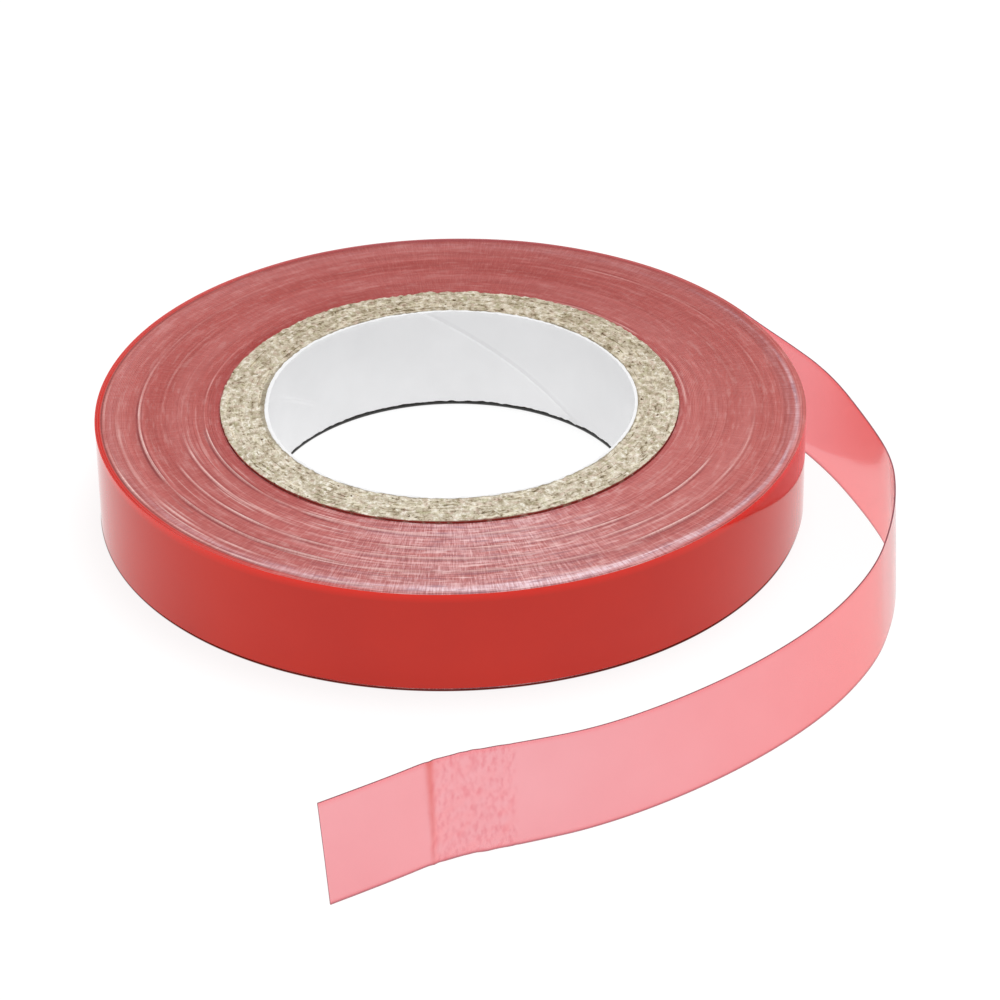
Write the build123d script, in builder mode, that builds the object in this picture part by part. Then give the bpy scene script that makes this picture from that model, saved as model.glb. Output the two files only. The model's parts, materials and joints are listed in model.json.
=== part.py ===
"""Roll of narrow plastic tape on a spiral-wound paper core.

The roll lies flat on its side with its axis along +Z and the base of the winding at Z = 0.
The free end of the tape leaves the rim and stands on edge beside the roll.
All lengths are in millimetres.
"""

import os
from math import pi, radians, tan

from build123d import *

# The tape
tape_width = 11.0
tape_thickness = 0.13
roll_radius = 36.33

# The core: a white paper liner inside plies of grey board
bore_radius = 19.05  # half of the standard 1.5 inch core
liner_thickness = 0.2
ply_thickness = 0.6
ply_count = 7
core_lift = 0.35  # the core sits this far up in the winding, and stands proud of it above

# Every strip of the core is wound on the same helix and butts against itself
seam_gap = 0.15
seam_lead = 75.0  # rise of the helix in one full turn
seam_overrun = 0.5  # how far the seam's cutter passes each cut end of the core
liner_seam_angle = 45.0  # where the liner's seam meets the core's lower end
ply_seam_stagger = 152.0  # turn from one ply's seam to the next

# The outer lap of tape turns round the rest of the winding
lap_clearance = 0.05
peel_angle = 30.0  # where the tape leaves the rim
tuck_gap_angle = 3.0  # how far the lap's tucked end stops short of a full turn

# The free end's route, seen from above. Its first run is tangent to the rim.
first_run = 6.5
tail_points = [
    (39.5, 5.0),
    (43.0, -5.5),
    (44.2, -16.5),
    (43.3, -26.5),
    (40.5, -33.0),
    (34.0, -43.0),
    (25.0, -51.5),
    (14.0, -58.5),
    (5.0, -61.4),
    (-1.0, -62.6),
    (-6.5, -66.4),
    (-11.9, -69.8),
]
arc_share = 0.45  # part of the shorter run that each arc of the route takes up

core_radius = bore_radius + liner_thickness + ply_count * ply_thickness
lap_bore = roll_radius - 2 * tape_thickness  # inside of the outer lap where it tucks under
winding_radius = lap_bore - lap_clearance

os.makedirs("parts", exist_ok=True)


def finish(name, piece):
    """Label a finished piece and write it out."""
    piece.part.label = name
    export_step(piece.part, f"parts/{name}.step")


def core_strip(inner_radius, thickness, seam_angle):
    """One paper strip of the core, cut to the core's width: a tube open along its helical seam."""
    middle_radius = inner_radius + thickness / 2
    start_angle = seam_angle - 360 * seam_overrun / seam_lead
    cutter_base = Plane(
        origin=(0, 0, core_lift - seam_overrun),
        x_dir=Vector(1, 0, 0).rotate(Axis.Z, start_angle),
        z_dir=(0, 0, 1),
    )
    with BuildPart() as strip:
        with BuildSketch(Plane.XY.offset(core_lift)):
            Circle(inner_radius + thickness)
            Circle(inner_radius, mode=Mode.SUBTRACT)
        extrude(amount=tape_width)
        with BuildLine(cutter_base) as seam:
            Helix(seam_lead, tape_width + 2 * seam_overrun, middle_radius)
        with BuildSketch(Plane(origin=seam.line @ 0, x_dir=cutter_base.x_dir, z_dir=seam.line % 0)):
            Rectangle(2 * thickness, seam_gap)
        sweep(path=seam.line, is_frenet=True, mode=Mode.SUBTRACT)
    return strip


# Core liner: thin white paper that lines the bore
core_liner = core_strip(bore_radius, liner_thickness, liner_seam_angle)
finish("core_liner", core_liner)

# Core plies: strips of grey board, each wound over the one inside it
for number in range(1, ply_count + 1):
    ply_bore = bore_radius + liner_thickness + (number - 1) * ply_thickness
    ply = core_strip(ply_bore, ply_thickness, liner_seam_angle + number * ply_seam_stagger)
    finish(f"core_ply_{number}", ply)

# Winding: all the laps of tape under the outer one, wound tight on the core
with BuildPart() as tape_winding:
    with BuildSketch():
        Circle(winding_radius)
        Circle(core_radius, mode=Mode.SUBTRACT)
    extrude(amount=tape_width)
finish("tape_winding", tape_winding)

# Outer lap: one turn of the spiral, drawn as two arcs whose centres step sideways, so that its
# far end tucks under the place where the tape leaves the rim
step = tape_thickness / 4
tucked_sweep = 180 - tuck_gap_angle
with BuildPart() as tape_outer_lap:
    with BuildSketch(Plane.XY.rotated((0, 0, peel_angle))):
        with BuildLine() as lap_outline:
            inner_start = CenterArc((step, 0), lap_bore + 3 * step, 0, 180)
            inner_end = CenterArc((-step, 0), lap_bore + step, 180, tucked_sweep)
            outer_start = CenterArc((step, 0), lap_bore + 7 * step, 0, 180)
            outer_end = CenterArc((-step, 0), lap_bore + 5 * step, 180, tucked_sweep)
            Line(inner_start @ 0, outer_start @ 0)
            Line(inner_end @ 1, outer_end @ 1)
        make_face()
    extrude(amount=tape_width)
finish("tape_outer_lap", tape_outer_lap)

# Free end: the same tape, standing on edge, as straight runs joined by tangent arcs
outward = Vector(1, 0, 0).rotate(Axis.Z, peel_angle)
along = outward.rotate(Axis.Z, -90)
mid_height = tape_width / 2
peel_point = outward * (roll_radius - tape_thickness / 2) + Vector(0, 0, mid_height)
route = [peel_point, peel_point + along * first_run]
route += [Vector(x, y, mid_height) for x, y in tail_points]
runs = [after - before for before, after in zip(route, route[1:])]
radii = []
for before, after in zip(runs, runs[1:]):
    half_turn = before.get_angle(after) / 2
    radii.append(arc_share * min(before.length, after.length) / tan(radians(half_turn)))

with BuildPart() as tape_tail:
    with BuildLine() as tail_route:
        FilletPolyline(*route, radius=radii)
    with BuildSketch(Plane(origin=tail_route.line @ 0, x_dir=outward, z_dir=along)):
        Rectangle(tape_thickness, tape_width)
    sweep(path=tail_route.line)
finish("tape_tail", tape_tail)

tail_length = tail_route.wire().length
expected_volume = tail_length * tape_width * tape_thickness
wound_length = pi * (roll_radius**2 - core_radius**2) / tape_thickness
print("free end's bend radii:", [round(radius, 1) for radius in radii])
print(f"free end: {tail_length:.1f} long, volume {tape_tail.part.volume:.2f} of {expected_volume:.2f}")
print(f"wound tape: {wound_length / 1000:.1f} m in {(roll_radius - core_radius) / tape_thickness:.0f} turns")
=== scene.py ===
"""Looks of the roll of red tape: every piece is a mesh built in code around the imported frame."""

import json
from math import cos, pi, radians, sin

import bpy
import numpy as np
from mathutils import Matrix, Vector


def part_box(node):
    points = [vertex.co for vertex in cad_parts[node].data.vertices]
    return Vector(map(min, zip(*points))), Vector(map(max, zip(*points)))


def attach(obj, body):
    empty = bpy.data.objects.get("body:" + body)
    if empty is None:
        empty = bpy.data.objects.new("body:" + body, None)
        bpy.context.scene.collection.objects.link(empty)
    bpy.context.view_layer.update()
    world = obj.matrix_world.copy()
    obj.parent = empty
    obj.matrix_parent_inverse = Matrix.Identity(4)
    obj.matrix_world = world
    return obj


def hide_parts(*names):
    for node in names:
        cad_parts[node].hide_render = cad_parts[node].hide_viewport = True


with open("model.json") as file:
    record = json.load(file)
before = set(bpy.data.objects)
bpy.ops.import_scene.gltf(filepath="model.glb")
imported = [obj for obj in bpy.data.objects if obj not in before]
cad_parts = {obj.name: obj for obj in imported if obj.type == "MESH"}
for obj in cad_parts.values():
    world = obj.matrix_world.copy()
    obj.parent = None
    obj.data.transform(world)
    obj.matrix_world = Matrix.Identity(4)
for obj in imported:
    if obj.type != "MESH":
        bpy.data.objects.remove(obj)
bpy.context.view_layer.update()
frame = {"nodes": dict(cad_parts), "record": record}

MM = 0.001

# ---------------------------------------------------------------------------
# Sizes, from the frame
# ---------------------------------------------------------------------------

PLIES = sorted(name for name in frame["nodes"] if name.startswith("core_ply_"))
BORE = next(mount for mount in frame["record"]["mounts"] if mount["name"] == "core_bore")
BORE_RADIUS = BORE["dims"]["r_mm"] * MM
LINER_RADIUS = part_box("core_liner")[1].x
PLY_RADII = [LINER_RADIUS] + [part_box(name)[1].x for name in PLIES]
CORE_RADIUS = PLY_RADII[-1]
CORE_LOW, CORE_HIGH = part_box("core_liner")[0].z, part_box("core_liner")[1].z
WINDING_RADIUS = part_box("tape_winding")[1].x
TAPE_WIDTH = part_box("tape_winding")[1].z

# ---------------------------------------------------------------------------
# Sizes that the part's source gives
# ---------------------------------------------------------------------------

TAPE_THICKNESS = 0.13 * MM
ROLL_RADIUS = 36.33 * MM
PEEL_ANGLE = radians(30)  # where the free end leaves the roll
TUCKED_ANGLE = radians(27)  # where the outermost lap runs in under its own start

SEAM_LEAD = 75 * MM  # how far a core strip's seam climbs in one turn
PLY_SEAM_GAP = 0.04 * MM
LINER_SEAM_GAP = 0.005 * MM
LINER_SEAM_ANGLE = radians(45)
PLY_SEAM_STAGGER = radians(152)


# ---------------------------------------------------------------------------
# Camera
# ---------------------------------------------------------------------------

CAMERA_DISTANCE = 0.4223
CAMERA_ELEVATION = radians(31.27)
CAMERA_LENS = 146.5
CAMERA_TURNS = (radians(-0.08), radians(-0.68), radians(-1.19))  # tilt, pan and roll from dead centre
CAMERA_CLIP = (0.01, 20)


def make_camera():
    """The camera looks at the roll's axis from the front and above, turned a little off it."""
    camera = bpy.data.objects.new("camera", bpy.data.cameras.new("camera"))
    bpy.context.scene.collection.objects.link(camera)
    camera.data.lens = CAMERA_LENS
    camera.data.clip_start, camera.data.clip_end = CAMERA_CLIP
    tilt, pan, roll = CAMERA_TURNS
    place = Matrix.Rotation(pi / 2 - CAMERA_ELEVATION, 4, "X") @ Matrix.Translation((0, 0, CAMERA_DISTANCE))
    turns = Matrix.Rotation(pan, 4, "Y") @ Matrix.Rotation(tilt, 4, "X") @ Matrix.Rotation(roll, 4, "Z")
    camera.matrix_world = place @ turns
    bpy.context.scene.camera = camera


make_camera()


# ---------------------------------------------------------------------------
# Shape helpers
# ---------------------------------------------------------------------------


def smooth_step(x, low, high):
    """0 below low, 1 above high, and a smooth rise between."""
    t = np.clip((x - low) / (high - low), 0, 1)
    return t * t * (3 - 2 * t)


def hump(x, middle, width):
    """A smooth hump of height 1."""
    return np.exp(-(((x - middle) / width) ** 2))


def degrees_from(angle, middle):
    """How many degrees an angle in radians is past one in degrees, from -180 to 180."""
    return (np.degrees(angle) - middle + 180) % 360 - 180


def around(angle, middle, width):
    """A smooth hump of height 1 about an angle in degrees; angle itself is in radians."""
    return hump(degrees_from(angle, middle), 0, width)


def soft_noise(shape, sizes, seed):
    """A random field that wraps at its edges, with a spread of 1. sizes are its blur along each side, in
    cells."""
    field = np.random.default_rng(seed).standard_normal(shape)
    spectrum = np.fft.fft2(field)
    for side, size in enumerate(sizes):
        frequency = np.fft.fftfreq(shape[side])
        fade = np.exp(-2 * (pi * frequency * size) ** 2)
        spectrum *= fade[:, None] if side == 0 else fade[None, :]
    field = np.fft.ifft2(spectrum).real
    return (field - field.mean()) / field.std()


# ---------------------------------------------------------------------------
# Mesh helpers
# ---------------------------------------------------------------------------

SHARP_ANGLE = radians(40)


def grid_quads(rows, columns, wrap_rows=False):
    """Quads between neighbouring points of a grid that is numbered row by row."""
    row = np.arange(rows if wrap_rows else rows - 1)
    column = np.arange(columns - 1)
    row, column = (part.ravel() for part in np.meshgrid(row, column, indexing="ij"))
    here, next_row = row * columns, (row + 1) % rows * columns
    return np.stack([here + column, here + column + 1, next_row + column + 1, next_row + column], axis=1)


def ribbon_quads(ring, columns, cut):
    """Quads round a strip whose section has ring points. cut tells which of its sides are cut edges. The
    quads of the skins come first, then those of the cut edges and ends."""
    along = grid_quads(ring, columns, wrap_rows=True).reshape(ring, columns - 1, 4)
    skins, edges = along[~cut].reshape(-1, 4), along[cut].reshape(-1, 4)
    low = np.arange(ring // 2 - 1)
    start = np.stack([low, low + 1, ring - 2 - low, ring - 1 - low], axis=1) * columns
    end = start[:, ::-1] + columns - 1
    return skins, np.concatenate([edges, start, end])


def enclosed_volume(points, quads):
    """The volume inside a closed mesh of quads, negative where its faces point inwards."""
    p0, p1, p2, p3 = (points[quads[:, corner]] for corner in range(4))
    first = np.einsum("ij,ij->i", p0, np.cross(p1, p2))
    second = np.einsum("ij,ij->i", p0, np.cross(p2, p3))
    return (first + second).sum() / 6


def new_piece(name, points, quads, materials, attributes=None):
    """A closed mesh object from points and from quads, which are listed in one array for each material."""
    points = np.asarray(points, float).reshape(-1, 3)
    slots = np.concatenate([np.full(len(part), index) for index, part in enumerate(quads)])
    quads = np.concatenate(quads)
    if enclosed_volume(points, quads) < 0:
        quads = quads[:, ::-1]
    mesh = bpy.data.meshes.new(name)
    mesh.vertices.add(len(points))
    mesh.vertices.foreach_set("co", points.astype(np.float32).ravel())
    mesh.loops.add(quads.size)
    mesh.loops.foreach_set("vertex_index", quads.astype(np.int32).ravel())
    mesh.polygons.add(len(quads))
    mesh.polygons.foreach_set("loop_start", np.arange(0, quads.size, 4, dtype=np.int32))
    mesh.polygons.foreach_set("material_index", slots.astype(np.int32))
    for key, values in (attributes or {}).items():
        attribute = mesh.attributes.new(key, "FLOAT", "POINT")
        attribute.data.foreach_set("value", np.asarray(values, np.float32).ravel())
    mesh.update(calc_edges=True)
    mesh.shade_smooth()
    mesh.set_sharp_from_angle(angle=SHARP_ANGLE)
    for material in materials:
        mesh.materials.append(material)
    piece = bpy.data.objects.new(name, mesh)
    bpy.context.scene.collection.objects.link(piece)
    return piece


# ---------------------------------------------------------------------------
# Material helpers
# ---------------------------------------------------------------------------

MIX_COLOURS = (6, 7)  # places of the Mix node's two colour inputs among its inputs
MIX_RESULT = 2  # place of its colour output among its outputs


class Nodes:
    """A material's node tree, with short ways to add nodes to it."""

    def __init__(self, name):
        self.material = bpy.data.materials.new(name)
        self.material.use_nodes = True
        self.tree = self.material.node_tree
        self.tree.nodes.clear()
        self.output = self.tree.nodes.new("ShaderNodeOutputMaterial")

    def add(self, kind, inputs=None, **settings):
        node = self.tree.nodes.new("ShaderNode" + kind)
        for key, value in settings.items():
            setattr(node, key, value)
        for key, value in (inputs or {}).items():
            self.set(node.inputs[key], value)
        return node

    def set(self, socket, value):
        if isinstance(value, bpy.types.NodeSocket):
            self.tree.links.new(value, socket)
        else:
            socket.default_value = value

    def math(self, operation, *values):
        node = self.add("Math", operation=operation)
        for socket, value in zip(node.inputs, values):
            self.set(socket, value)
        return node.outputs[0]

    def times(self, first, second):
        return self.math("MULTIPLY", first, second)

    def place(self):
        return self.add("TexCoord").outputs["Object"]

    def part_of(self, place, axis):
        return self.add("SeparateXYZ", {"Vector": place}).outputs[axis]

    def attribute(self, name):
        return self.add("Attribute", attribute_name=name).outputs["Fac"]

    def facing(self):
        """0 where a surface is seen square on and 1 where it is seen edge on."""
        return self.add("LayerWeight", {"Blend": 0.5}).outputs["Facing"]

    def noise(self, place, scale, detail=2.0, roughness=0.5):
        settings = {"Vector": place, "Scale": scale, "Detail": detail, "Roughness": roughness}
        return self.add("TexNoise", settings).outputs["Fac"]

    def remap(self, value, low, high, to_low=0.0, to_high=1.0):
        settings = {"Value": value, "From Min": low, "From Max": high, "To Min": to_low, "To Max": to_high}
        return self.add("MapRange", settings).outputs["Result"]

    def mix(self, factor, first, second, blend="MIX"):
        node = self.add("Mix", data_type="RGBA", blend_type=blend)
        self.set(node.inputs["Factor"], factor)
        for index, value in zip(MIX_COLOURS, (first, second)):
            self.set(node.inputs[index], value)
        return node.outputs[MIX_RESULT]

    def bump(self, height, distance, strength=1.0):
        node = self.add("Bump", {"Height": height, "Distance": distance, "Strength": strength})
        return node.outputs["Normal"]

    def radius(self, place):
        """The distance from the Z axis, and the direction from it."""
        x, y, _ = self.add("SeparateXYZ", {"Vector": place}).outputs
        flat = self.add("CombineXYZ", {"X": x, "Y": y}).outputs[0]
        radius = self.add("VectorMath", {0: flat}, operation="LENGTH").outputs["Value"]
        return radius, self.add("VectorMath", {0: flat}, operation="NORMALIZE").outputs[0]

    def polar(self, place, turn_scale, radius_scale):
        """The turn about Z and the radius as a place, each with a scale of its own. Noise there follows the
        laps: the smaller turn_scale is, the longer it is drawn out along them."""
        radius, turn = self.radius(place)
        turn = self.add("VectorMath", {0: turn, "Scale": turn_scale}, operation="SCALE").outputs[0]
        x, y, _ = self.add("SeparateXYZ", {"Vector": turn}).outputs
        return self.add("CombineXYZ", {"X": x, "Y": y, "Z": self.times(radius, radius_scale)}).outputs[0]

    def principled(self, **inputs):
        """The material's one shader. Its inputs are named in lower case with underscores."""
        names = [key.replace("_", " ").title().replace("Ior", "IOR") for key in inputs]
        shader = self.add("BsdfPrincipled", dict(zip(names, inputs.values())))
        self.set(self.output.inputs["Surface"], shader.outputs[0])


def colour(red, green, blue):
    """A linear colour from 0-255 screen values."""
    return tuple((value / 255) ** 2.2 for value in (red, green, blue)) + (1.0,)


# ---------------------------------------------------------------------------
# Materials
# ---------------------------------------------------------------------------


def board_material():
    """Grey board, cut across: short pale and dark fibres. Painted shade darkens its edge beside the white
    paper, and its outer wall, below the top, is painted dark red as shade; the board is browner at the back."""
    m = Nodes("core_board")
    place = m.place()
    height, depth = m.part_of(place, "Z"), m.part_of(place, "Y")
    radius, _ = m.radius(place)
    coarse = m.noise(place, 900, 3, 0.6)
    tint = m.noise(place, 1400, 2, 0.5)
    grain = m.noise(place, 1900, 3, 0.7)
    layers = m.noise(m.polar(place, 0.003, 1), 2600, 2, 0.5)
    specks = m.noise(place, 1500, 2, 0.6)
    base = m.mix(m.remap(coarse, 0.35, 0.65), colour(183, 170, 144), colour(225, 214, 194))
    base = m.mix(m.remap(tint, 0.55, 0.7, 0.0, 0.6), base, colour(214, 186, 172))
    base = m.mix(m.remap(tint, 0.45, 0.3, 0.0, 0.6), base, colour(196, 194, 156))
    base = m.mix(m.remap(layers, 0.56, 0.68, 0.0, 0.8), base, colour(244, 234, 210))
    base = m.mix(m.remap(grain, 0.47, 0.3), base, colour(128, 110, 84))
    base = m.mix(m.remap(grain, 0.53, 0.66), base, colour(250, 244, 230))
    base = m.mix(m.remap(specks, 0.68, 0.72), base, colour(96, 74, 50))
    ragged = m.math("MULTIPLY_ADD", coarse, 0.3 * MM, radius)
    # painted shade: a darker grey line on the board along its edge beside the white paper
    inner_edge_shade = m.remap(ragged, LINER_RADIUS + 0.35 * MM, LINER_RADIUS + 0.22 * MM, 0.0, 0.6)
    base = m.mix(inner_edge_shade, base, colour(140, 130, 112))
    # painted shade: dark red on the core's outer wall where it stands above the laps
    shaded_outer_wall = m.remap(ragged, CORE_RADIUS + 0.04 * MM, CORE_RADIUS + 0.12 * MM)
    below_top = m.remap(height, TAPE_WIDTH + 0.32 * MM, TAPE_WIDTH + 0.2 * MM)
    base = m.mix(m.times(shaded_outer_wall, below_top), base, colour(158, 62, 54))
    at_back = m.remap(depth, -5 * MM, 15 * MM, 0.0, 0.22)
    base = m.mix(at_back, base, colour(176, 158, 130), "MULTIPLY")
    rough_cut = m.bump(grain, 0.12 * MM, 0.9)
    m.principled(base_color=base, roughness=0.9, specular_ior_level=0.2, normal=rough_cut)
    return m.material


def liner_material():
    """White paper, faintly mottled."""
    m = Nodes("core_paper")
    place = m.place()
    cloud = m.noise(place, 180, 3, 0.5)
    fibre = m.noise(place, 5000, 3, 0.6)
    base = m.mix(m.remap(cloud, 0.3, 0.7), colour(243, 243, 244), colour(248, 248, 249))
    paper_grain = m.bump(fibre, 0.02 * MM, 0.6)
    m.principled(base_color=base, roughness=0.75, specular_ior_level=0.3, normal=paper_grain)
    return m.material


def wound_edge_material():
    """The cut edges of the wound tape: dusty red, frosted and scuffed in places, with painted sheen,
    highlights and shade, and bright red at the rim with a painted glow.
    """
    m = Nodes("tape_cut_edges")
    place = m.place()
    radius, _ = m.radius(place)
    laps = m.polar(place, 0.05, 50.0)
    ticks = m.noise(m.polar(place, 8.0, 22.0), 28, 3, 0.65)
    streaks = m.noise(m.polar(place, 0.4, 75.0), 28, 2, 0.6)
    ring = m.noise(laps, 28, 2, 0.6)
    band = m.noise(laps, 8, 2, 0.5)
    cloud = m.noise(place, 140, 3, 0.5)
    names = ("proud", "sunk", "frost_and_sheen", "scuffs_and_glints", "clear", "crevice_shade", "shaded")
    proud, sunk, frost_and_sheen, scuffs_and_glints, clear, crevice_shade, shaded = (m.attribute(name) for name in names)

    base = m.mix(m.remap(ring, 0.3, 0.7), colour(182, 84, 78), colour(200, 103, 98))
    base = m.mix(m.remap(band, 0.42, 0.62, 0.0, 0.5), base, colour(206, 122, 118))
    base = m.mix(m.remap(cloud, 0.4, 0.75, 0.0, 0.2), base, colour(204, 120, 116))
    # painted shade: the laps darken towards the core, which stands above them
    shade_near_core = m.remap(radius, 25.0 * MM, 23.4 * MM, 0.0, 0.6)
    base = m.mix(shade_near_core, base, colour(182, 66, 66))
    # painted shade in the crevice beside the core
    base = m.mix(crevice_shade, base, colour(116, 26, 26))

    # scuffs, with painted glints that are strongest at the front
    base = m.mix(m.times(m.remap(ticks, 0.5, 0.34), scuffs_and_glints), base, colour(146, 58, 60))
    base = m.mix(m.times(m.remap(ticks, 0.5, 0.66), scuffs_and_glints), base, colour(246, 198, 194))
    base = m.mix(m.times(m.remap(streaks, 0.54, 0.66), scuffs_and_glints), base, colour(252, 212, 208))
    base = m.mix(m.times(m.remap(streaks, 0.46, 0.34), scuffs_and_glints), base, colour(146, 56, 60))

    # painted shade in the grooves beside laps that stand out
    base = m.mix(m.times(sunk, 0.75), base, colour(134, 38, 42))
    # frosting, with a painted sheen that is strongest at the front
    base = m.mix(m.times(frost_and_sheen, m.remap(ticks, 0.35, 0.6, 0.4, 1.0)), base, colour(244, 214, 222))
    bare = m.times(m.times(frost_and_sheen, m.remap(streaks, 0.46, 0.36)), 0.7)
    base = m.mix(bare, base, colour(164, 108, 124))
    # painted highlight on laps that stand out
    base = m.mix(m.times(proud, m.remap(ticks, 0.3, 0.55, 0.6, 1.0)), base, colour(255, 212, 206))

    back_rim = m.times(m.remap(radius, 35.4 * MM, 35.9 * MM), shaded)
    base = m.mix(back_rim, base, colour(168, 84, 88))
    # the outer laps' own red at the rim, brightened by a painted glow of light through them
    rim = m.times(m.remap(radius, 35.6 * MM, 35.8 * MM), clear)
    base = m.mix(rim, base, colour(218, 43, 31))
    # painted shade: a dark line just inside the rim, where the winding meets the outer lap
    shade_inside_rim = m.times(m.remap(radius, 35.45 * MM, 35.55 * MM), m.remap(radius, 35.7 * MM, 35.6 * MM))
    base = m.mix(m.times(m.times(shade_inside_rim, clear), 0.6), base, colour(120, 34, 32))
    rough_cut = m.bump(ticks, 0.03 * MM, 0.6)
    m.principled(base_color=base, roughness=0.38, specular_ior_level=0.5, normal=rough_cut)
    return m.material


def gloss_material():
    """The outside of the roll: smooth glossy red film, with a painted glow near its top edge, where light
    comes in.
    """
    m = Nodes("tape_gloss")
    place = m.place()
    cloud = m.noise(place, 60, 3, 0.5)
    ripple = m.noise(place, 220, 2, 0.5)
    base = m.mix(m.remap(cloud, 0.3, 0.7), colour(200, 36, 12), colour(209, 41, 15))
    # painted glow: brighter red near the top edge, for light that comes in through the cut face
    glow_near_top = m.remap(m.part_of(place, "Z"), TAPE_WIDTH - 1.0 * MM, TAPE_WIDTH - 0.2 * MM, 0.0, 0.95)
    base = m.mix(glow_near_top, base, colour(238, 38, 6))
    m.principled(base_color=base, roughness=0.06, ior=1.42, normal=m.bump(ripple, 0.01 * MM, 0.5))
    return m.material


def film_material():
    """One layer of the tape: red film that lets light through, deeper where it is seen slanting, and darker
    along its foot."""
    m = Nodes("tape_film")
    place = m.place()
    crumple, fold = m.attribute("crumple"), m.attribute("fold")
    border, dark_foot = m.attribute("border"), m.attribute("dark_foot")
    slanting = m.facing()
    cloud = m.noise(place, 110, 3, 0.5)
    upright = m.add("VectorMath", {0: place, 1: (1, 1, 0.5)}, operation="MULTIPLY").outputs[0]
    flecks = m.noise(upright, 2300, 2, 0.6)
    base = m.mix(m.remap(cloud, 0.3, 0.7), colour(237, 162, 168), colour(240, 168, 174))
    base = m.mix(m.remap(slanting, 0.15, 0.75), base, colour(255, 106, 102))
    border_colour = m.mix(m.remap(slanting, 0.2, 0.6), colour(246, 126, 134), colour(236, 62, 62))
    base = m.mix(m.times(border, 0.5), base, border_colour)
    base = m.mix(m.times(crumple, m.remap(flecks, 0.46, 0.7)), base, colour(222, 98, 110))
    base = m.mix(m.times(fold, m.remap(cloud, 0.3, 0.6, 0.6, 0.9)), base, colour(222, 106, 102))
    base = m.mix(dark_foot, base, colour(128, 66, 74))
    m.principled(base_color=base, roughness=0.13, ior=1.36, transmission_weight=0.96,
                 normal=m.bump(flecks, 0.04 * MM, crumple))
    return m.material


def film_edge_material():
    """The cut edge of one layer of tape: deep red, because light has come a long way through it."""
    m = Nodes("tape_film_edge")
    cloud = m.noise(m.place(), 900, 3, 0.5)
    base = m.mix(m.remap(cloud, 0.3, 0.7), colour(112, 38, 52), colour(150, 56, 68))
    m.principled(base_color=base, roughness=0.4)
    return m.material


BOARD = board_material()
PAPER = liner_material()
CUT_EDGES = wound_edge_material()
GLOSS = gloss_material()
FILM = film_material()
FILM_EDGE = film_edge_material()


# ---------------------------------------------------------------------------
# The free end of the tape
# ---------------------------------------------------------------------------

FIRST_RUN = 6.5 * MM
TAIL_POINTS = [  # in millimetres
    (39.3, 4.4),
    (42.4, -5.3),
    (44.1, -12.6),
    (44.0, -18.6),
    (42.9, -25.4),
    (40.4, -33.4),
    (34.5, -42.6),
    (25.0, -51.5),
    (14.0, -58.5),
    (5.0, -61.4),
    (-1.0, -62.9),
    (-6.5, -66.6),
    (-11.9, -69.8),
]
FOLD_FROM_END = 11.2 * MM
CRUMPLED_LENGTH = 8.4 * MM
TAIL_ROWS = 45
TAIL_SPACING = 0.2 * MM


def tail_line():
    """Points along the tail's centreline, close together, read from its NURBS spline."""
    outward = Vector((cos(PEEL_ANGLE), sin(PEEL_ANGLE), 0))
    along = Vector((sin(PEEL_ANGLE), -cos(PEEL_ANGLE), 0))
    peel = outward * (ROLL_RADIUS - TAPE_THICKNESS / 2)
    route = [peel, peel + along * FIRST_RUN] + [Vector((x, y, 0)) * MM for x, y in TAIL_POINTS]
    curve = bpy.data.curves.new("tail_route", "CURVE")
    curve.dimensions = "3D"
    curve.resolution_u = 48
    spline = curve.splines.new("NURBS")
    spline.points.add(len(route) - 1)
    for point, place in zip(spline.points, route):
        point.co = (place.x, place.y, TAPE_WIDTH / 2, 1)
    spline.order_u = 3
    spline.use_endpoint_u = True
    holder = bpy.data.objects.new("tail_route", curve)
    line = bpy.data.meshes.new_from_object(holder)
    points = np.array([vertex.co for vertex in line.vertices])
    bpy.data.objects.remove(holder)
    bpy.data.meshes.remove(line)
    bpy.data.curves.remove(curve)
    return points


def even_points(points, spacing):
    """The same line with its points evenly spaced, and how far along it each one is."""
    steps = np.linalg.norm(np.diff(points, axis=0), axis=1)
    gone = np.concatenate([[0], np.cumsum(steps)])
    along = np.linspace(0, gone[-1], int(gone[-1] / spacing) + 1)
    return np.stack([np.interp(along, gone, points[:, axis]) for axis in range(3)], axis=1), along


def tail_offset(along, height, total, fold_at, in_patch):
    """How far each point of the ribbon stands off its centreline, in metres: soft bulges, the wrinkles of
    the crumpled patch, the fold, and a lean that changes on the way."""
    free = smooth_step(along, 6 * MM, 30 * MM)
    bulge = 0.05 * MM * soft_noise(along.shape, (14, 60), 3) * free
    fine, coarse = soft_noise(along.shape, (1.2, 1.2), 4), soft_noise(along.shape, (2.5, 3), 5)
    wrinkle = (0.02 * fine + 0.03 * coarse) * MM * in_patch
    fold = 0.1 * MM * hump(along, fold_at, 0.3 * MM)
    lean = 0.5 * hump(along, 13 * MM, 9 * MM) * smooth_step(along, 0, 8 * MM)
    lean = lean - 0.5 * hump(along, 46 * MM, 16 * MM)
    lean = lean - 0.5 * smooth_step(along, total - 30 * MM, total - 12 * MM)
    return bulge + wrinkle + fold + lean * MM * (height - 0.5)


def tail_looks(along, height, fold_at, in_patch):
    """The looks of the film, from 0 to 1: crumpled, folded, near a border, and darker at its foot."""
    from_foot = TAPE_WIDTH * height + 0 * along
    from_border = np.minimum(from_foot, TAPE_WIDTH - from_foot)
    return {
        "crumple": 0.42 * in_patch,
        "fold": hump(along, fold_at, (0.22 + 0.2 * height) * MM) * (0.35 + 0.65 * height),
        "border": 1 - smooth_step(from_border, 0.1 * MM, 0.5 * MM),
        "dark_foot": 0.9 - 0.9 * smooth_step(from_foot, 0, 0.24 * MM),
    }


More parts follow.
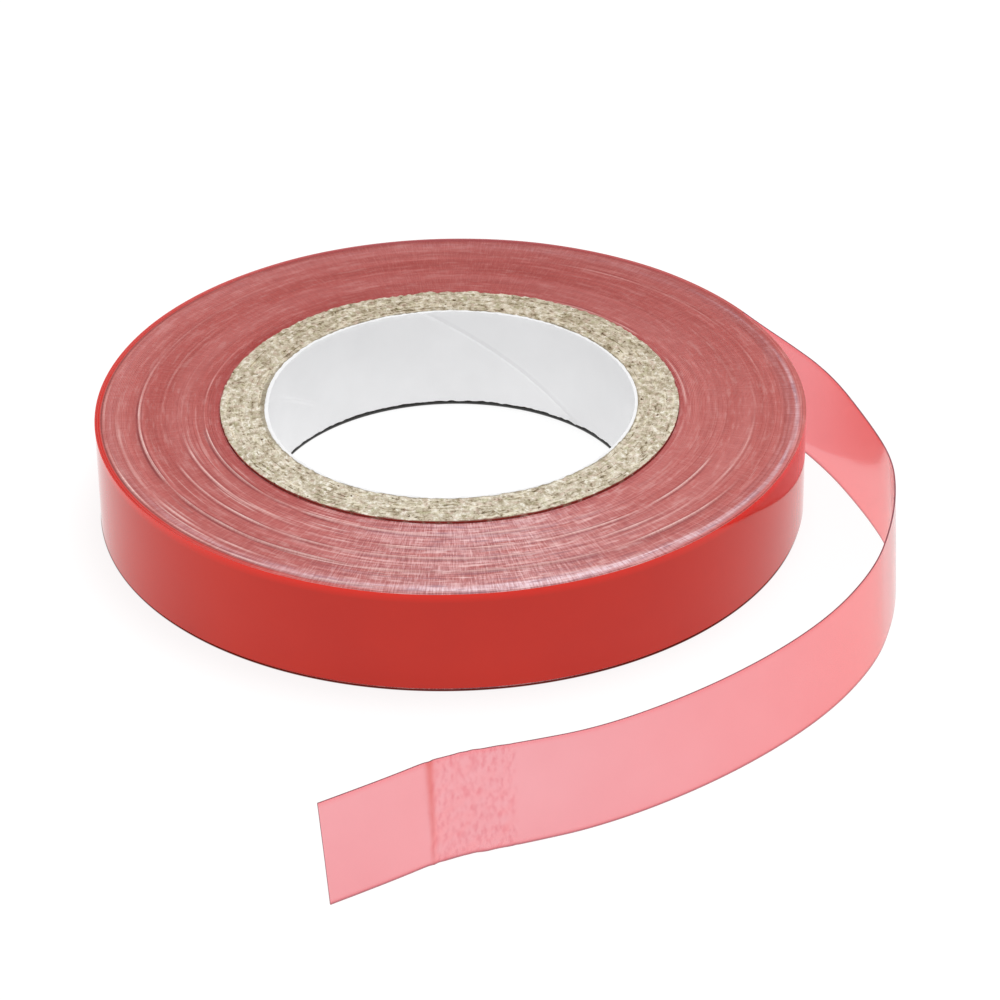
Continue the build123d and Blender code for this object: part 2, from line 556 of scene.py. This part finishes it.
def make_tail():
    """The free end: a thin ribbon on edge, with a fold near its end and a crumpled patch before it."""
    line = tail_line()
    centre, along = even_points(line, TAIL_SPACING)
    total = along[-1]
    ahead = np.gradient(centre, axis=0)
    ahead /= np.linalg.norm(ahead, axis=1)[:, None]
    side = np.stack([-ahead[:, 1], ahead[:, 0], np.zeros(len(ahead))], axis=1)
    columns = len(centre)
    height = np.linspace(0, 1, TAIL_ROWS)[:, None] ** 1.1  # a little closer together at the foot
    along = along[None, :] + np.zeros((TAIL_ROWS, 1))
    fold_at = total - FOLD_FROM_END
    patch_at = fold_at - CRUMPLED_LENGTH
    in_patch = smooth_step(along, patch_at, patch_at + 0.6 * MM)
    in_patch = in_patch * (1 - smooth_step(along, fold_at, fold_at + 0.5 * MM))
    offset = tail_offset(along, height, total, fold_at, in_patch)
    slant = 0.6 * MM * (height - 0.5) * smooth_step(along, total - 6 * MM, total)
    skins = []
    for face in (1, -1):
        out = offset + face * TAPE_THICKNESS / 2
        points = centre[None] + out[..., None] * side[None] + slant[..., None] * ahead[None]
        points[..., 2] = height * TAPE_WIDTH
        skins.append(points)
    ring = np.concatenate([skins[0], skins[1][::-1]])
    looks = tail_looks(along, height, fold_at, in_patch)
    looks = {key: np.concatenate([values, values[::-1]]) for key, values in looks.items()}
    cut = np.isin(np.arange(2 * TAIL_ROWS), [TAIL_ROWS - 1, 2 * TAIL_ROWS - 1])
    quads = ribbon_quads(2 * TAIL_ROWS, columns, cut)
    piece = new_piece("tape_free_end", ring, quads, [FILM, FILM_EDGE], looks)
    piece.visible_shadow = False  # the film lets the light through
    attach(piece, "unwinding_lap")
    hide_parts("tape_tail")


make_tail()


# ---------------------------------------------------------------------------
# The core
# ---------------------------------------------------------------------------

CORE_SEED = 20  # of the liner's random chips; each ply takes the next one
TOUCHING = 1e-6  # points this near a face of a strip are on it
CREASE_ANGLES = (139, 158)  # degrees where the crease in the white paper starts and ends
CREASE_HEIGHTS = (4.2 * MM, 8.0 * MM)


def strip_section(inner, outer, walls, faces):
    """Radius and height round the section of a strip: up the bore side, out over the top, down and back."""
    up, across = np.linspace(CORE_LOW, CORE_HIGH, walls + 1), np.linspace(inner, outer, faces + 1)
    radius = np.concatenate([np.full(walls, inner), across[:-1], np.full(walls, outer), across[:0:-1]])
    height = np.concatenate([up[:-1], np.full(faces, CORE_HIGH), up[:0:-1], np.full(faces, CORE_LOW)])
    return radius, height


def inward(radius, turn):
    """How far the core's strips are pushed into the bore on its left side, in metres."""
    return 0.33 * MM * around(turn, 178, 25) * (CORE_RADIUS - radius) / (CORE_RADIUS - BORE_RADIUS)


def paper_marks(radius, turn, height):
    """How far the white paper stands into the bore, in metres: its seam, a crease and the burr of its cut
    edge."""
    from_seam = np.linspace(0, 1, turn.shape[1])
    from_seam = np.minimum(from_seam, 1 - from_seam) * 2 * pi * radius
    seam = 0.12 * hump(from_seam, 0, 0.4 * MM)
    angle = np.degrees(turn) % 360
    (first_angle, last_angle), (low, high) = CREASE_ANGLES, CREASE_HEIGHTS
    climbed = low + (angle - first_angle) / (last_angle - first_angle) * (high - low)
    on_crease = smooth_step(angle, first_angle - 3, first_angle + 3)
    on_crease = on_crease * (1 - smooth_step(angle, last_angle - 3, last_angle + 4))
    crease = 0.15 * hump(height, climbed, 0.3 * MM) * on_crease
    burr = (0.1 + 0.1 * around(turn, 180, 60)) * hump(height, CORE_HIGH, 0.3 * MM)
    return (seam + crease + burr) * MM


def butt_quads(walls, faces, columns):
    """Quads over the two butt ends of a core strip, whose wall points are paired at equal heights."""
    rows = 2 * (walls + faces)
    up, across = np.arange(walls), np.arange((faces - 1) // 2)
    between = np.stack([up, up + 1, 2 * walls + faces - up - 1, 2 * walls + faces - up], axis=1)
    sliver = np.stack([across, across + 1, faces - 1 - across, faces - across], axis=1)
    start = np.concatenate([between, sliver + walls, (sliver + 2 * walls + faces) % rows]) * columns
    return np.concatenate([start, start[:, ::-1] + columns - 1])


def core_strip(name, node, radii, seam, material, seed, grid, rough, marks=None):
    """One paper strip of the core, cut along its helical seam, with rough cut faces. radii are its inner and
    outer ones, seam is its seam's angle and gap, and grid is how many quads make a wall and a cut face and
    how many points go round. rough and what marks returns are in metres."""
    inner, outer = radii
    seam_angle, gap = seam
    walls, faces, columns = grid
    radius, height = strip_section(inner, outer, walls, faces)
    rows = len(radius)
    middle = (inner + outer) / 2
    start = seam_angle + 2 * pi * (height - CORE_LOW) / SEAM_LEAD + gap / 2 / middle
    turn = start[:, None] + (2 * pi - gap / middle) * np.linspace(0, 1, columns)[None, :]
    radius, height = radius[:, None] + 0 * turn, height[:, None] + 0 * turn
    at_top, at_foot = height > CORE_HIGH - TOUCHING, height < CORE_LOW + TOUCHING
    rounded = (2 * (radius - middle) / (outer - inner)) ** 2
    chips = soft_noise(turn.shape, (0.8, 1.1), seed) + 0.8 * soft_noise(turn.shape, (2, 6), seed + 50)
    lift = rough * (0.9 * chips - 0.7 * rounded)
    height = height + np.where(at_top, lift, 0) - np.where(at_foot, lift, 0)
    pushed = inward(radius, turn)
    if marks:
        pushed += marks(radius, turn, height) * (radius < inner + TOUCHING)
    radius = radius - pushed
    points = np.stack([radius * np.cos(turn), radius * np.sin(turn), height], axis=-1)
    quads = np.concatenate([grid_quads(rows, columns, wrap_rows=True), butt_quads(walls, faces, columns)])
    piece = new_piece(name, points, [quads], [material])
    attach(piece, "roll")
    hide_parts(node)


def make_core():
    """The white liner and the board plies round it, each with its seam turned from the one inside it."""
    radii, seam = (BORE_RADIUS, LINER_RADIUS), (LINER_SEAM_ANGLE, LINER_SEAM_GAP)
    core_strip("core_liner_paper", "core_liner", radii, seam, PAPER, seed=CORE_SEED,
               grid=(60, 3, 780), rough=0.03 * MM, marks=paper_marks)
    for number, node in enumerate(PLIES, 1):
        radii = PLY_RADII[number - 1:number + 1]
        seam = LINER_SEAM_ANGLE + number * PLY_SEAM_STAGGER, PLY_SEAM_GAP
        core_strip(f"core_board_{number}", node, radii, seam, BOARD, seed=CORE_SEED + number,
                   grid=(8, 5, 900), rough=0.05 * MM)


make_core()


# ---------------------------------------------------------------------------
# The wound tape
# ---------------------------------------------------------------------------

SHOWN_WINDING_RADIUS = WINDING_RADIUS + 0.03 * MM  # closes most of the clearance to the outer lap
LAP_COUNT = round((SHOWN_WINDING_RADIUS - CORE_RADIUS) / TAPE_THICKNESS) - 1
LAP_PITCH = (SHOWN_WINDING_RADIUS - CORE_RADIUS) / (LAP_COUNT + 1)
SEGMENTS = 160  # of each lap
ACROSS = np.array([0.0, 0.2, 0.6])  # places of a lap's points across its thickness, as parts of the pitch
GROOVE = np.array([0.045, 0.0, 0.012]) * MM  # how deep each of them lies
OFF_CENTRE = 0.55 * MM  # how far the middle laps are pushed to the right
RIDGES = [  # radius in mm, degrees where it starts and ends, and how many mm its laps stand proud
    (25.62, -176, -57, 0.12),
    (28.05, -168, -24, 0.09),
    (29.95, -174, -48, 0.11),
    (32.30, -186, -33, 0.16),
    (34.20, -168, -122, 0.08),
    (35.35, -172, -100, 0.07),
    (30.65, -36, -14, 0.07),
    (31.90, 8, 70, 0.025),
    (24.05, -5, 62, 0.06),
]


def lap_noise(size_across, size_along, seed, steps):
    """A random value for each step along the winding's spiral, blurred across laps and along them."""
    field = soft_noise((LAP_COUNT + 1, SEGMENTS), (size_across, size_along), seed)
    return field.ravel()[:steps, None]


def ridges(radius, angle):
    """Which laps stand out, painted with a highlight, and which lie lower beside them, painted with shade,
    from 0 to 1, and how far they stand out, in metres."""
    proud, sunk, stand = (np.zeros_like(radius) for _ in range(3))
    for index, (middle, start, end, height) in enumerate(RIDGES):
        from_middle = np.abs(degrees_from(angle, (start + end) / 2))
        inside = 1 - smooth_step(from_middle, (end - start) / 2 - 9, (end - start) / 2 + 5)
        inside = np.maximum(inside, 0.4 * around(angle, start, 30))
        broken = 0.7 + 0.45 * soft_noise((SEGMENTS, 1), (1.1, 0), 60 + index)[:, 0]
        inside = inside * np.clip(np.interp(angle, np.linspace(-pi, pi, SEGMENTS), broken), 0, 1.2)
        off = radius - middle * MM
        peak = hump(off, 0, 0.09 * MM) * inside
        beside = hump(off, 0.25 * MM, 0.1 * MM) + 0.6 * hump(off, -0.24 * MM, 0.1 * MM)
        skirt = smooth_step(off, -1.2 * MM, 0) * (off < 0) * inside
        proud = np.maximum(proud, peak * min(1, height / 0.08))
        sunk = np.maximum(sunk, beside * inside * min(1, height / 0.12))
        stand = np.maximum(stand, (peak + 0.3 * skirt) * height * MM)
    return proud, sunk, stand


def streaked(angle):
    """Short arcs that stand out or lie lower at random, mostly on the left and at the front, 0 to 1; the
    ones that stand out get a painted highlight and the lower ones painted shade.
    """
    streaks = lap_noise(0.4, 2.2, 9, len(angle))
    where = 0.1 + 0.75 * around(angle, -112, 42)
    return smooth_step(streaks, 1.1, 2.6) * where, smooth_step(-streaks, 1.1, 2.6) * where


def handling_marks(radius, angle):
    """Looks of the cut edges, from 0 to 1: frosting inside the rim with a painted sheen at the front, scuffs
    with painted glints at the front, and where the rim is bright red with a painted glow or, at the back,
    shaded."""
    front, right, back = around(angle, -82, 44), around(angle, -8, 36), around(angle, 92, 50)
    middle = (34.85 + 0.5 * front + 0.68 * right) * MM
    width = (0.22 + 0.5 * front + 0.06 * right) * MM
    band = hump(radius, middle, width) * np.clip(0.06 + front + 0.5 * right + 0.06 * back, 0, 1)
    # painted sheen: a light patch on the face at the front, and a fainter band near the rim on the right
    painted_sheen = 0.2 * around(angle, -88, 24) * (1 + 0.8 * hump(radius, 25.5 * MM, 2 * MM))
    painted_sheen = painted_sheen + 0.14 * around(angle, 30, 80) * hump(radius, 34.6 * MM, 0.8 * MM)
    scuffs_and_glints = 0.12 + 0.5 * around(angle, -85, 28)
    # the rim's painted glow fades at the back, front and right
    clear = np.clip(1 - 0.85 * back - 1.05 * front - 0.85 * around(angle, 5, 45), 0, 1)
    return {"frost_and_sheen": np.maximum(band, painted_sheen), "scuffs_and_glints": scuffs_and_glints, "clear": clear, "shaded": back}


def core_gap_shade(radius, angle):
    """How dark the painted shade in the crevice beside the core is, from 0 to 1: wider and darker in three
    places.
    """
    open_at = 0.3 + 0.7 * (around(angle, -148, 20) + around(angle, 22, 20) + around(angle, 162, 20))
    width = (0.12 + 0.2 * open_at) * MM
    return open_at * (1 - smooth_step(radius, CORE_RADIUS, CORE_RADIUS + width))


def spiral_quads(last):
    """Quads of the wound strip. Its points are numbered along its top and then along its foot, three at each
    step, and last is the last step's number. The quads are the two faces, with joins from each lap to the
    next, and the inner and outer walls."""
    half = 3 * (last + 1)
    step = np.arange(last - SEGMENTS)
    joins = [3 * (step + 1) + 2, 3 * (step + 1 + SEGMENTS), 3 * (step + SEGMENTS), 3 * step + 2]
    face = np.concatenate([grid_quads(last + 1, 3), np.stack(joins, axis=1)])
    inner = np.concatenate([3 * np.arange(SEGMENTS + 1), [2, 1]])
    outer = np.concatenate([3 * np.arange(last - SEGMENTS, last + 1) + 2, [3 * last + 1, 3 * last]])
    walls = []
    for loop, way in ((inner, 1), (outer, -1)):
        after = np.roll(loop, -1)
        walls.append(np.stack([loop, after, after + half, loop + half], axis=1)[:, ::way])
    return np.concatenate([face, face[:, ::-1] + half] + walls)


def make_winding():
    """The wound laps as one spiral strip, whose every lap has two edges of its own with a groove beside
    them."""
    last = LAP_COUNT * SEGMENTS
    along = np.arange(last + 1)[:, None] / SEGMENTS
    turn = TUCKED_ANGLE + 2 * pi * (LAP_COUNT - along) + 0 * ACROSS
    angle = (turn + pi) % (2 * pi) - pi
    radius = CORE_RADIUS + LAP_PITCH * (along + ACROSS)
    radius[:SEGMENTS + 1, 0] = CORE_RADIUS
    radius[last - SEGMENTS:, 2] = SHOWN_WINDING_RADIUS

    proud, sunk, stand = ridges(radius, angle)
    high, low = streaked(angle)
    proud, sunk = np.maximum(proud, high), np.maximum(sunk, low)
    stand = np.maximum(stand, 0.04 * MM * high)
    looks = handling_marks(radius, angle)
    looks["crevice_shade"] = core_gap_shade(radius, angle)
    looks["frost_and_sheen"] = np.clip(looks["frost_and_sheen"] * (1 + 0.35 * lap_noise(0.7, 1.0, 8, last + 1)), 0, 1)
    looks.update(proud=proud, sunk=np.clip(sunk, 0, 1))
    uneven = 0.01 * MM * lap_noise(0.45, 9, 7, last + 1)
    stand = np.clip(0.03 * MM + stand - 0.02 * MM * sunk + uneven, 0, 0.3 * MM)

    pushed = smooth_step(radius, CORE_RADIUS, 26 * MM) * (1 - smooth_step(radius, 33 * MM, 35.6 * MM))
    shown = radius + OFF_CENTRE * np.cos(turn) * pushed
    flat = np.stack([shown * np.cos(turn), shown * np.sin(turn)], axis=-1)
    top = np.concatenate([flat, (TAPE_WIDTH + stand - GROOVE)[..., None]], axis=-1)
    foot = np.concatenate([flat, (stand + GROOVE)[..., None]], axis=-1)
    points = np.concatenate([top.reshape(-1, 3), foot.reshape(-1, 3)])
    looks = {key: np.tile(values.ravel(), 2) for key, values in looks.items()}
    piece = new_piece("wound_laps", points, [spiral_quads(last)], [CUT_EDGES], looks)
    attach(piece, "roll")
    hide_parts("tape_winding")


# ---------------------------------------------------------------------------
# The outermost lap
# ---------------------------------------------------------------------------

OUTER_ROWS, OUTER_COLUMNS = 12, 900
FOOT_LIFT = 0.3 * MM  # how far the lap's foot stands off the floor at the front
SLACK = 0.22 * MM  # how far the lap stands off the roll on its right side


def make_outer_lap():
    """The outermost lap: a spiral from where the tape peels off to where it runs in, slack on one side and
    lifted a little off the floor."""
    rows, columns = OUTER_ROWS, OUTER_COLUMNS
    turn = np.linspace(PEEL_ANGLE, TUCKED_ANGLE + 2 * pi, columns)
    outer = ROLL_RADIUS - TAPE_THICKNESS * (turn - PEEL_ANGLE) / (2 * pi) + SLACK * around(turn, -2, 16)
    inner = SHOWN_WINDING_RADIUS + 0.015 * MM + 0 * turn
    flutter = 0.012 * MM * np.abs(soft_noise((rows, columns), (4, 30), 11))
    uneven = 0.01 * MM * soft_noise((1, columns), (0, 12), 12)
    lift = FOOT_LIFT * (0.3 + 0.7 * around(turn, -90, 45))
    up = lift + np.linspace(0, 1, rows)[:, None] * (TAPE_WIDTH - lift) + uneven
    down = lift + np.linspace(1, 0, rows + 2)[:, None] * (TAPE_WIDTH - lift) + uneven
    crown, groove = outer - 0.3 * TAPE_THICKNESS, np.maximum(outer - TAPE_THICKNESS, inner + 0.004 * MM)
    radius = np.concatenate([outer - flutter, crown[None], groove[None], inner + 0 * down])
    height = np.concatenate([up, TAPE_WIDTH + uneven + 0.01 * MM, TAPE_WIDTH + uneven - 0.03 * MM, down])
    points = np.stack([radius * np.cos(turn), radius * np.sin(turn), height], axis=-1)
    ring = len(radius)
    cut = np.isin(np.arange(ring), [rows - 1, rows, rows + 1, ring - 1])
    looks = handling_marks(radius, turn + 0 * radius)
    piece = new_piece("outer_lap", points, ribbon_quads(ring, columns, cut), [GLOSS, CUT_EDGES], looks)
    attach(piece, "unwinding_lap")
    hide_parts("tape_outer_lap")


make_winding()
make_outer_lap()


# ---------------------------------------------------------------------------
# Stage
# ---------------------------------------------------------------------------

FLOOR_HALF_SIZE = 4.0
FLOOR_GLOW = 0.845
FLOOR_COLOUR = (0.2, 0.2, 0.2, 1)
SKY_STRENGTH = 0.62
LAMP_PLACE = (0.16, 0.22, 1.0)
LAMP_SIZE = 0.5
LAMP_POWER = 4.7
WHITE = (1, 1, 1, 1)
BLACK = (0, 0, 0, 1)


def floor_material():
    """A glowing white floor. Under the roll it doesn't glow: it is painted dark as shade, and dark red
    towards the rim, with a painted dark red glow there.
    """
    m = Nodes("floor")
    radius, _ = m.radius(m.place())
    # painted shade: the floor under the roll is dark and does not glow
    shade_under_roll = m.times(m.remap(radius, BORE_RADIUS - 0.12 * MM, BORE_RADIUS),
                    m.remap(radius, ROLL_RADIUS, ROLL_RADIUS - 0.1 * MM))
    # painted shade and a painted dark red glow under the roll towards its rim
    towards_rim = m.remap(radius, CORE_RADIUS, WINDING_RADIUS)
    base = m.mix(shade_under_roll, FLOOR_COLOUR, m.mix(towards_rim, FLOOR_COLOUR, (0.12, 0.015, 0.01, 1)))
    glow = m.mix(shade_under_roll, WHITE, m.mix(towards_rim, BLACK, (0.08, 0.008, 0.004, 1)))
    m.principled(base_color=base, roughness=0.7, specular_ior_level=0.1, emission_color=glow,
                 emission_strength=FLOOR_GLOW)
    return m.material


def make_floor():
    size = FLOOR_HALF_SIZE
    corners = [(-size, -size, 0), (size, -size, 0), (size, size, 0), (-size, size, 0)]
    mesh = bpy.data.meshes.new("floor")
    mesh.from_pydata(corners, [], [(0, 1, 2, 3)])
    mesh.materials.append(floor_material())
    floor = bpy.data.objects.new("floor", mesh)
    bpy.context.scene.collection.objects.link(floor)


def make_lights():
    """An even white sky and a large soft lamp overhead."""
    world = bpy.data.worlds.new("sky")
    world.use_nodes = True
    sky = world.node_tree.nodes["Background"]
    sky.inputs["Color"].default_value = WHITE
    sky.inputs["Strength"].default_value = SKY_STRENGTH
    bpy.context.scene.world = world
    lamp = bpy.data.lights.new("overhead", "AREA")
    lamp.shape = "DISK"
    lamp.size = LAMP_SIZE
    lamp.energy = LAMP_POWER
    light = bpy.data.objects.new("overhead", lamp)
    light.location = LAMP_PLACE
    light.rotation_euler = (-light.location).to_track_quat("-Z", "Y").to_euler()
    bpy.context.scene.collection.objects.link(light)


make_floor()
make_lights()
bpy.context.scene.view_settings.view_transform = "Standard"
